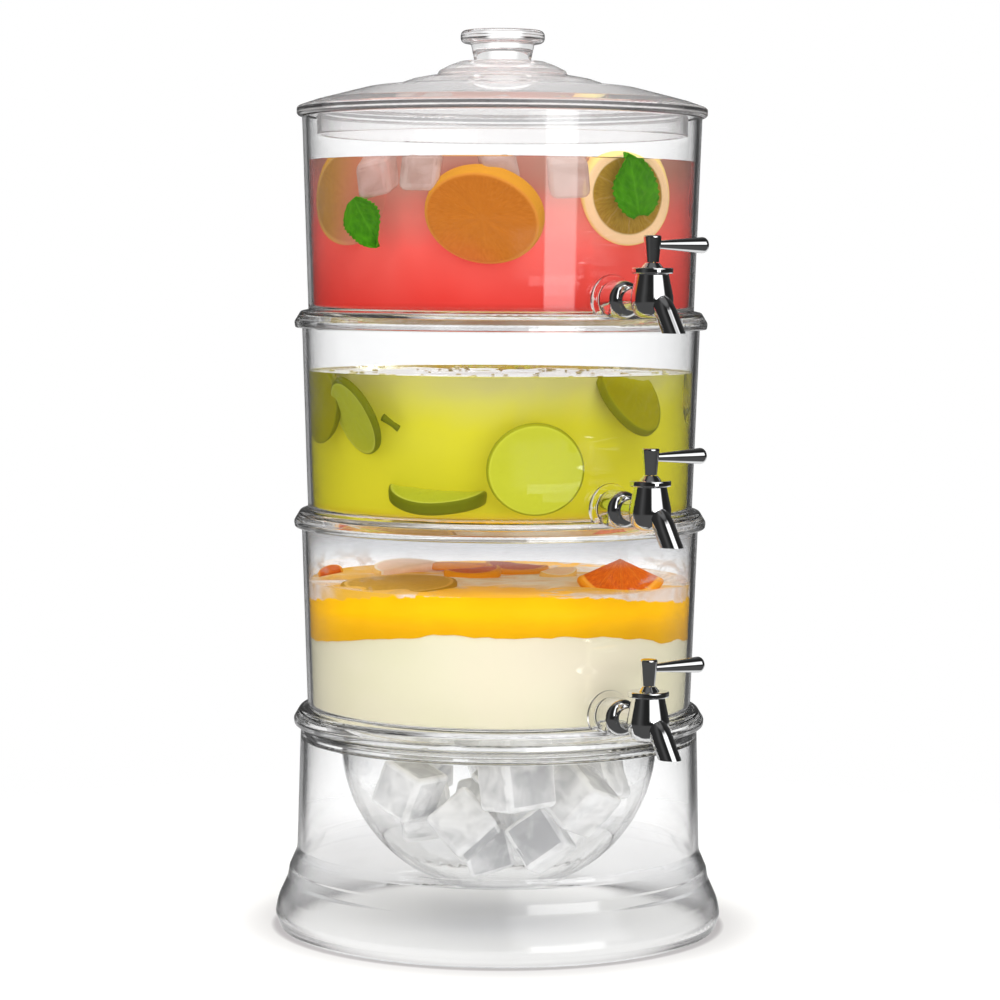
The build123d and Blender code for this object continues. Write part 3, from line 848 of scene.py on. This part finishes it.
def mintLeaf(name, length, width, at, turn, cup):
    form = mintForm
    bm = bmesh.new()
    bmesh.ops.create_grid(bm, x_segments=form["grid"][0], y_segments=form["grid"][1], size=0.5)
    mapFlat(bm, "leaf", lambda spot: (spot.x + 0.5, spot.y + 0.5))
    for vert in bm.verts:
        along = vert.co.y + 0.5
        side = vert.co.x * 2
        towardsTip = min(1, along * (1 - form["tip"]) + form["tip"])
        outline = math.sin(math.pi * towardsTip ** form["belly"]) ** form["fullness"]
        tooth = 1 + form["toothDepth"] * abs(side) ** form["toothSharpness"] * math.cos(along * form["teeth"])
        bend = cup * (side * side - form["cupRest"])
        bend += form["buckle"] * math.sin(along * form["buckles"]) * abs(side)
        bend -= cup * form["droop"] * (along - 0.5) ** 2
        vert.co = Vector((side * outline * tooth * width / 2, (along - 0.5) * length, bend * width))
    bmesh.ops.remove_doubles(bm, verts=bm.verts, dist=1e-5)
    bmesh.ops.solidify(bm, geom=bm.faces[:], thickness=form["thick"])
    bmesh.ops.recalc_face_normals(bm, faces=bm.faces)
    return setIn(bm, name, mint, at, turn)


leaves = [
    ("top_mint_left", 0.032, 0.026, (-79.5, 0.1095, 0.0555), (-64, 8, 211), 0.16),
    ("top_mint_right", 0.041, 0.033, (10.5, 0.1125, 0.0800), (0, 3, 14), 0.10),
]
for row in leaves:
    mintLeaf(*row)
print("leaves:", len(leaves))


# ice

def iceLook(name, look):
    material, tree, shader, place = newMaterial(
        name, IOR=1.31, Transmission_Weight=look["clear"], Emission_Strength=look["paintedGlow"]
    )
    cloud = noiseAt(tree, place, look["cloud"], detail=4.0, distortion=0.7)
    # painted shade on each flat side and a painted highlight on the rounded edges, read from a face attribute
    paintedFacetShade = addNode(tree, "ShaderNodeAttribute", attribute_name="paintedFacetShade").outputs["Fac"]
    tone = maths(tree, "ADD", cloud, times(tree, paintedFacetShade, look["facetShadeShare"]))
    paint(tree, shader, twoTone(tree, tone, look["dark"], look["light"]), True)
    plug(tree, shader, "Roughness", remap(tree, cloud, 0.35, 0.7, *look["rough"]))
    addBump(tree, shader, cloud, look["wave"], 0.002)
    return material


# the bowl ice has a painted glow; the facet shade share sets how strongly each side's painted shade shows
ice = {
    "bowl": iceLook("bowlIce", {
        "clear": 0.4, "dark": (0.52, 0.522, 0.535), "light": (1.0, 1.0, 1.0), "rough": (0.03, 0.08),
        "wave": 0.2, "paintedGlow": 0.13, "cloud": 70.0, "facetShadeShare": 0.23}),
    "juice": iceLook("juiceIce", {
        "clear": 0.4, "dark": (0.52, 0.41, 0.36), "light": (0.74, 0.64, 0.59), "rough": (0.03, 0.2),
        "wave": 0.3, "paintedGlow": 0.0, "cloud": 70.0, "facetShadeShare": 0.1}),
}
iceForm = {
    "bevel": {"bowl": 0.1, "juice": 0.2}, "bevelSteps": 3, "cuts": 3,  # bevel by share of the side
    "melt": {"bowl": 0.02, "juice": 0.06}, "meltScale": 48, "meltShift": (3.7, 1.3, 0),
    "flat": 0.97, "rim": 0.6,  # painted highlight tone of the rounded edges, where a flat side has a painted shade between -1 and 1
}


def iceCube(name, body, kind, size, matrix, seed):
    bm = bmesh.new()
    bmesh.ops.create_cube(bm, size=1)
    bmesh.ops.scale(bm, vec=size, verts=bm.verts)
    bmesh.ops.bevel(
        bm, geom=bm.edges[:], offset=min(size) * iceForm["bevel"][kind], segments=iceForm["bevelSteps"],
        profile=0.5, affect="EDGES", material=-1,
    )
    bmesh.ops.subdivide_edges(bm, edges=bm.edges[:], cuts=iceForm["cuts"], use_grid_fill=True)
    shift = Vector([seed * part for part in iceForm["meltShift"]])
    for vert in bm.verts:  # melted faces
        vert.co *= 1 + iceForm["melt"][kind] * noise.noise(vert.co * iceForm["meltScale"] + shift)
    bmesh.ops.recalc_face_normals(bm, faces=bm.faces)
    paintedFacetShade = bm.faces.layers.float.new("paintedFacetShade")
    chance = random.Random(seed)
    sideShades = [chance.uniform(-1, 1) for side in range(6)]
    for face in bm.faces:  # each flat side has its own painted shade, lighter or darker, and the rounded edges a painted highlight
        along = max(range(3), key=lambda axis: abs(face.normal[axis]))
        flat = abs(face.normal[along]) > iceForm["flat"]
        face[paintedFacetShade] = sideShades[2 * along + (face.normal[along] > 0)] if flat else iceForm["rim"]
    bmesh.ops.transform(bm, matrix=matrix, verts=bm.verts)
    piece = finishPiece(bm, name, ice[kind], body)
    if kind == "juice":
        letLightThrough(piece)


# cubes dropped into the bowl: each sinks, and is pushed off its neighbours and the bowl the shortest way
bowlPile = {
    "count": 14, "side": (0.030, 0.036), "seed": 9, "bowlRadius": 0.0975, "bowlDepth": 0.1, "top": 0.1215,
    "spread": 0.07, "stepAround": 2.4, "from": 0.05, "apart": 0.005,  # where the cubes start
    "steps": 400, "sink": 0.0008, "calming": 1.25, "gap": 0.0006, "parallel": 0.05,  # how they settle
}
bowlMiddle = Vector((0, 0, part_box("ice_bowl")[0].z + bowlPile["bowlDepth"]))


def droppedCubes():
    chance = random.Random(bowlPile["seed"])
    cubes = []
    for number in range(bowlPile["count"]):
        out = bowlPile["spread"] * math.sqrt(chance.random())
        way = number * bowlPile["stepAround"]
        height = bowlPile["from"] + number * bowlPile["apart"]
        turn = Quaternion([chance.gauss(0, 1) for part in range(4)]).normalized().to_matrix()
        cubes.append({
            "spot": Vector((out * math.cos(way), out * math.sin(way), height)),
            "turn": turn,
            "edges": [turn.col[axis].copy() for axis in range(3)],
            "half": chance.uniform(*bowlPile["side"]) / 2,
        })
    return cubes


# the shortest push that parts two cubes, along a face or across a pair of edges
def wayOut(one, other):
    apart = other["spot"] - one["spot"]
    if apart.length > math.sqrt(3) * (one["half"] + other["half"]):
        return None
    least = None
    crossed = [first.cross(second) for first in one["edges"] for second in other["edges"]]
    crossed = [way.normalized() for way in crossed if way.length > bowlPile["parallel"]]
    for axis in one["edges"] + other["edges"] + crossed:
        reach = sum(cube["half"] * abs(axis.dot(edge)) for cube in (one, other) for edge in cube["edges"])
        along = axis.dot(apart)
        depth = reach + bowlPile["gap"] - abs(along)
        if depth <= 0:
            return None
        if least is None or depth < least.length:
            least = axis * math.copysign(depth, along)
    return least


def keepInBowl(cube):
    corners = [
        cube["spot"] + cube["half"] * (x * cube["edges"][0] + y * cube["edges"][1] + z * cube["edges"][2])
        for x, y, z in itertools.product((-1, 1), repeat=3)
    ]
    farthest = max((corner - bowlMiddle for corner in corners), key=lambda way: way.length)
    beyond = farthest.length - bowlPile["bowlRadius"] + bowlPile["gap"]
    if beyond > 0:
        cube["spot"] -= farthest.normalized() * beyond
    cube["spot"].z -= max(0, max(corner.z for corner in corners) - bowlPile["top"])


pile = droppedCubes()
for step in range(bowlPile["steps"]):
    sink = bowlPile["sink"] * max(0, 1 - bowlPile["calming"] * step / bowlPile["steps"])
    for cube in pile:
        cube["spot"].z -= sink
    for one, other in itertools.combinations(pile, 2):
        push = wayOut(one, other)
        if push:
            one["spot"] -= push / 2
            other["spot"] += push / 2
    for cube in pile:
        keepInBowl(cube)
for number, cube in enumerate(pile):
    spot = Matrix.Translation(cube["spot"]) @ cube["turn"].to_4x4()
    iceCube(f"bowl_ice_{number + 1:02d}", "ice_bowl", "bowl", (cube["half"] * 2,) * 3, spot, number)

# cubes afloat in the top tier: place, turn and side
topIce = [
    ((-77, 0.102, 0.081), (-60, 4, 8), 0.023),
    ((-60, 0.101, 0.085), (-40, -6, -6), 0.024),
    ((-34, 0.097, 0.087), (-20, 8, 15), 0.020),
    ((-11, 0.100, 0.082), (-25, 5, 5), 0.024),
]
topIceForm = {"seed": 30, "flat": 0.95}
for number, (at, turn, side) in enumerate(topIce):
    spot = tierPlace("top", at, turn)
    size = (side, side, side * topIceForm["flat"])
    iceCube(f"top_ice_{number + 1}", "top_tier", "juice", size, spot, topIceForm["seed"] + number)
print("ice cubes:", len(pile) + len(topIce))


# studio: what shines through the clear walls and what surfaces mirror, by bearing, and the soft boxes in both
studio = {
    "floorSize": 3.0, "floorDrop": 0.0004, "floorFade": (0.26, 0.62), "floorTone": 0.95, "floorGrain": 0.99,
    "contactShade": (0.42, 0.40, 0.415), "contactStart": (0.124, 0.139),
    "contactEnds": ((0.1405, 0.148, 0.9), (0.1405, 0.178, 0.4)),  # from, to, depth
    "straight": [
        (-180, 1.2), (-164, 1.2), (-155, 0.8), (-120, 0.85), (0, 0.9), (120, 0.85), (157, 0.8), (169, 1.2),
        (180, 1.2)],
    "through": [
        (-180, 1.2), (-164, 1.2), (-157, 0.06), (-120, 0.03), (-60, 0.04), (0, 0.08), (60, 0.12), (120, 0.12),
        (150, 0.06), (163, 0.06), (169, 1.2), (180, 1.2)],
    "mirrored": [
        (-180, 0.12), (-150, 0.05), (-120, 0.02), (-70, 0.03), (-50, 0.08), (-25, 0.02), (0, 0.015),
        (110, 0.02), (150, 0.05), (180, 0.12)],
    "mirroredFloor": [(-180, 0.85), (-130, 0.85), (-105, 0.08), (105, 0.08), (130, 0.85), (180, 0.85)],
    "mirroredFloorUp": (-14, -6),
    "below": 0.75, "belowUp": (-24, -12), "above": 0.35, "aboveUp": (28, 50),
    "zenith": 0.16, "zenithUp": (60, 75),
    "boxes": [
        {"bearing": (8, 72), "up": (7, 60), "edge": 6.0, "light": 1.5},
        {"bearing": (16, 56), "up": (3, 12), "edge": 0.7, "light": 4.2},
        {"bearing": (25, 44), "up": (-5, 4), "edge": 0.7, "light": 2.5},
    ],
    "lamps": [
        {"name": "fill", "bearing": -16.0, "up": 24.0, "light": 1.42, "spread": 125.0},
        {"name": "side", "bearing": -78.0, "up": 14.0, "light": 0.75, "spread": 60.0},
        {"name": "overhead", "bearing": 0.0, "up": 88.0, "light": 1.9, "spread": 70.0},
    ],
}
photoView = {"distance": 2.0, "height": 0.415, "down": 4.16, "roll": 0.34, "lens": 114.12, "clip": (0.05, 50)}


def floorPlane():
    bm = bmesh.new()
    bmesh.ops.create_circle(bm, cap_ends=True, segments=96, radius=studio["floorSize"])
    bmesh.ops.translate(bm, verts=bm.verts, vec=(0, 0, -studio["floorDrop"]))
    material, tree, shader, place = softMaterial("paleFloor", rough=0.7, gloss=0.2)
    tone = studio["floorTone"]
    grain = twoTone(tree, noiseAt(tree, place, scale=3.0), (tone * studio["floorGrain"],) * 3, (tone,) * 3)
    far = lengthOf(tree, place)
    ends = [remap(tree, far, start, end, depth, 0.0) for start, end, depth in studio["contactEnds"]]
    contact = times(tree, maths(tree, "MAXIMUM", *ends), remap(tree, far, *studio["contactStart"]))
    paint(tree, shader, mixColour(tree, contact, grain, [tone * shade for shade in studio["contactShade"]]))
    plug(tree, shader, "Alpha", fade(tree, far, *studio["floorFade"]))
    floor = addMesh(bm, "floor", material)
    floor.visible_glossy = False


def studioLight():
    world = bpy.data.worlds.new("studio")
    scene.world = world
    world.use_nodes = True
    tree = world.node_tree
    way = addNode(tree, "ShaderNodeTexCoord").outputs["Generated"]

    def degrees(value):
        return times(tree, value, 180 / math.pi)

    def around(stops):
        return ramp(tree, turn, [((angle + 180) / 360, (light,) * 3) for angle, light in stops])

    def spanned(value, low, high, edge):
        start = remap(tree, value, low - edge, low + edge)
        return times(tree, start, fade(tree, value, high - edge, high + edge))

    rightwards, towards = (alongOf(tree, way, cameraWay(side, 0)) for side in (90, 0))
    bearing = degrees(maths(tree, "ARCTAN2", rightwards, towards))
    up = degrees(maths(tree, "ARCSINE", alongOf(tree, way, (0, 0, 1))))
    turn = remap(tree, bearing, -180, 180, smooth=False)
    path = addNode(tree, "ShaderNodeLightPath").outputs
    bounced = maths(tree, "MINIMUM", maths(tree, "ADD", path["Glossy Depth"], path["Diffuse Depth"]), 1.0)
    through = mixColour(tree, bounced, around(studio["straight"]), around(studio["through"]))
    through = mixColour(tree, fade(tree, up, *studio["belowUp"]), through, (studio["below"],) * 3)
    through = mixColour(tree, remap(tree, up, *studio["aboveUp"]), through, (studio["above"],) * 3)
    low = fade(tree, up, *studio["mirroredFloorUp"])
    mirrored = mixColour(tree, low, around(studio["mirrored"]), around(studio["mirroredFloor"]))
    mirrored = mixColour(tree, remap(tree, up, *studio["zenithUp"]), mirrored, (studio["zenith"],) * 3)
    mirror = times(tree, path["Is Reflection Ray"], path["Is Glossy Ray"])
    light = mixColour(tree, mirror, through, mirrored)
    for box in studio["boxes"]:
        across = spanned(bearing, *box["bearing"], box["edge"])
        mask = times(tree, across, spanned(up, *box["up"], box["edge"]))
        light = mixColour(tree, mask, light, (box["light"],) * 3)
    seen = mixColour(tree, path["Is Camera Ray"], light, (1.0, 1.0, 1.0))
    plug(tree, tree.nodes["Background"], "Color", seen)

    # broad lamps that show in no reflection
    for row in studio["lamps"]:
        lamp = bpy.data.lights.new(row["name"], "SUN")
        lamp.energy = row["light"]
        lamp.angle = math.radians(row["spread"])
        holder = addObject(row["name"], lamp)
        holder.rotation_mode = "QUATERNION"
        holder.rotation_quaternion = cameraWay(row["bearing"], row["up"]).to_track_quat("Z", "Y")
        holder.visible_camera = holder.visible_glossy = holder.visible_transmission = False


def photoCamera():
    data = bpy.data.cameras.new("camera")
    data.lens = photoView["lens"]
    data.clip_start, data.clip_end = photoView["clip"]
    camera = addObject("camera", data)
    camera.location = cameraWay(0, 0) * photoView["distance"] + Vector((0, 0, photoView["height"]))
    camera.rotation_mode = "QUATERNION"
    aim = (-cameraWay(0, photoView["down"])).to_track_quat("-Z", "Y")
    camera.rotation_quaternion = aim @ Quaternion((0, 0, 1), math.radians(photoView["roll"]))
    scene.camera = camera


floorPlane()
studioLight()
photoCamera()
scene.view_settings.view_transform = "Standard"
scene.cycles.max_bounces = 64
scene.cycles.transmission_bounces = 64
scene.cycles.transparent_max_bounces = 24
scene.cycles.glossy_bounces = 48
scene.cycles.diffuse_bounces = 4
scene.cycles.caustics_reflective = False
print("studio set")
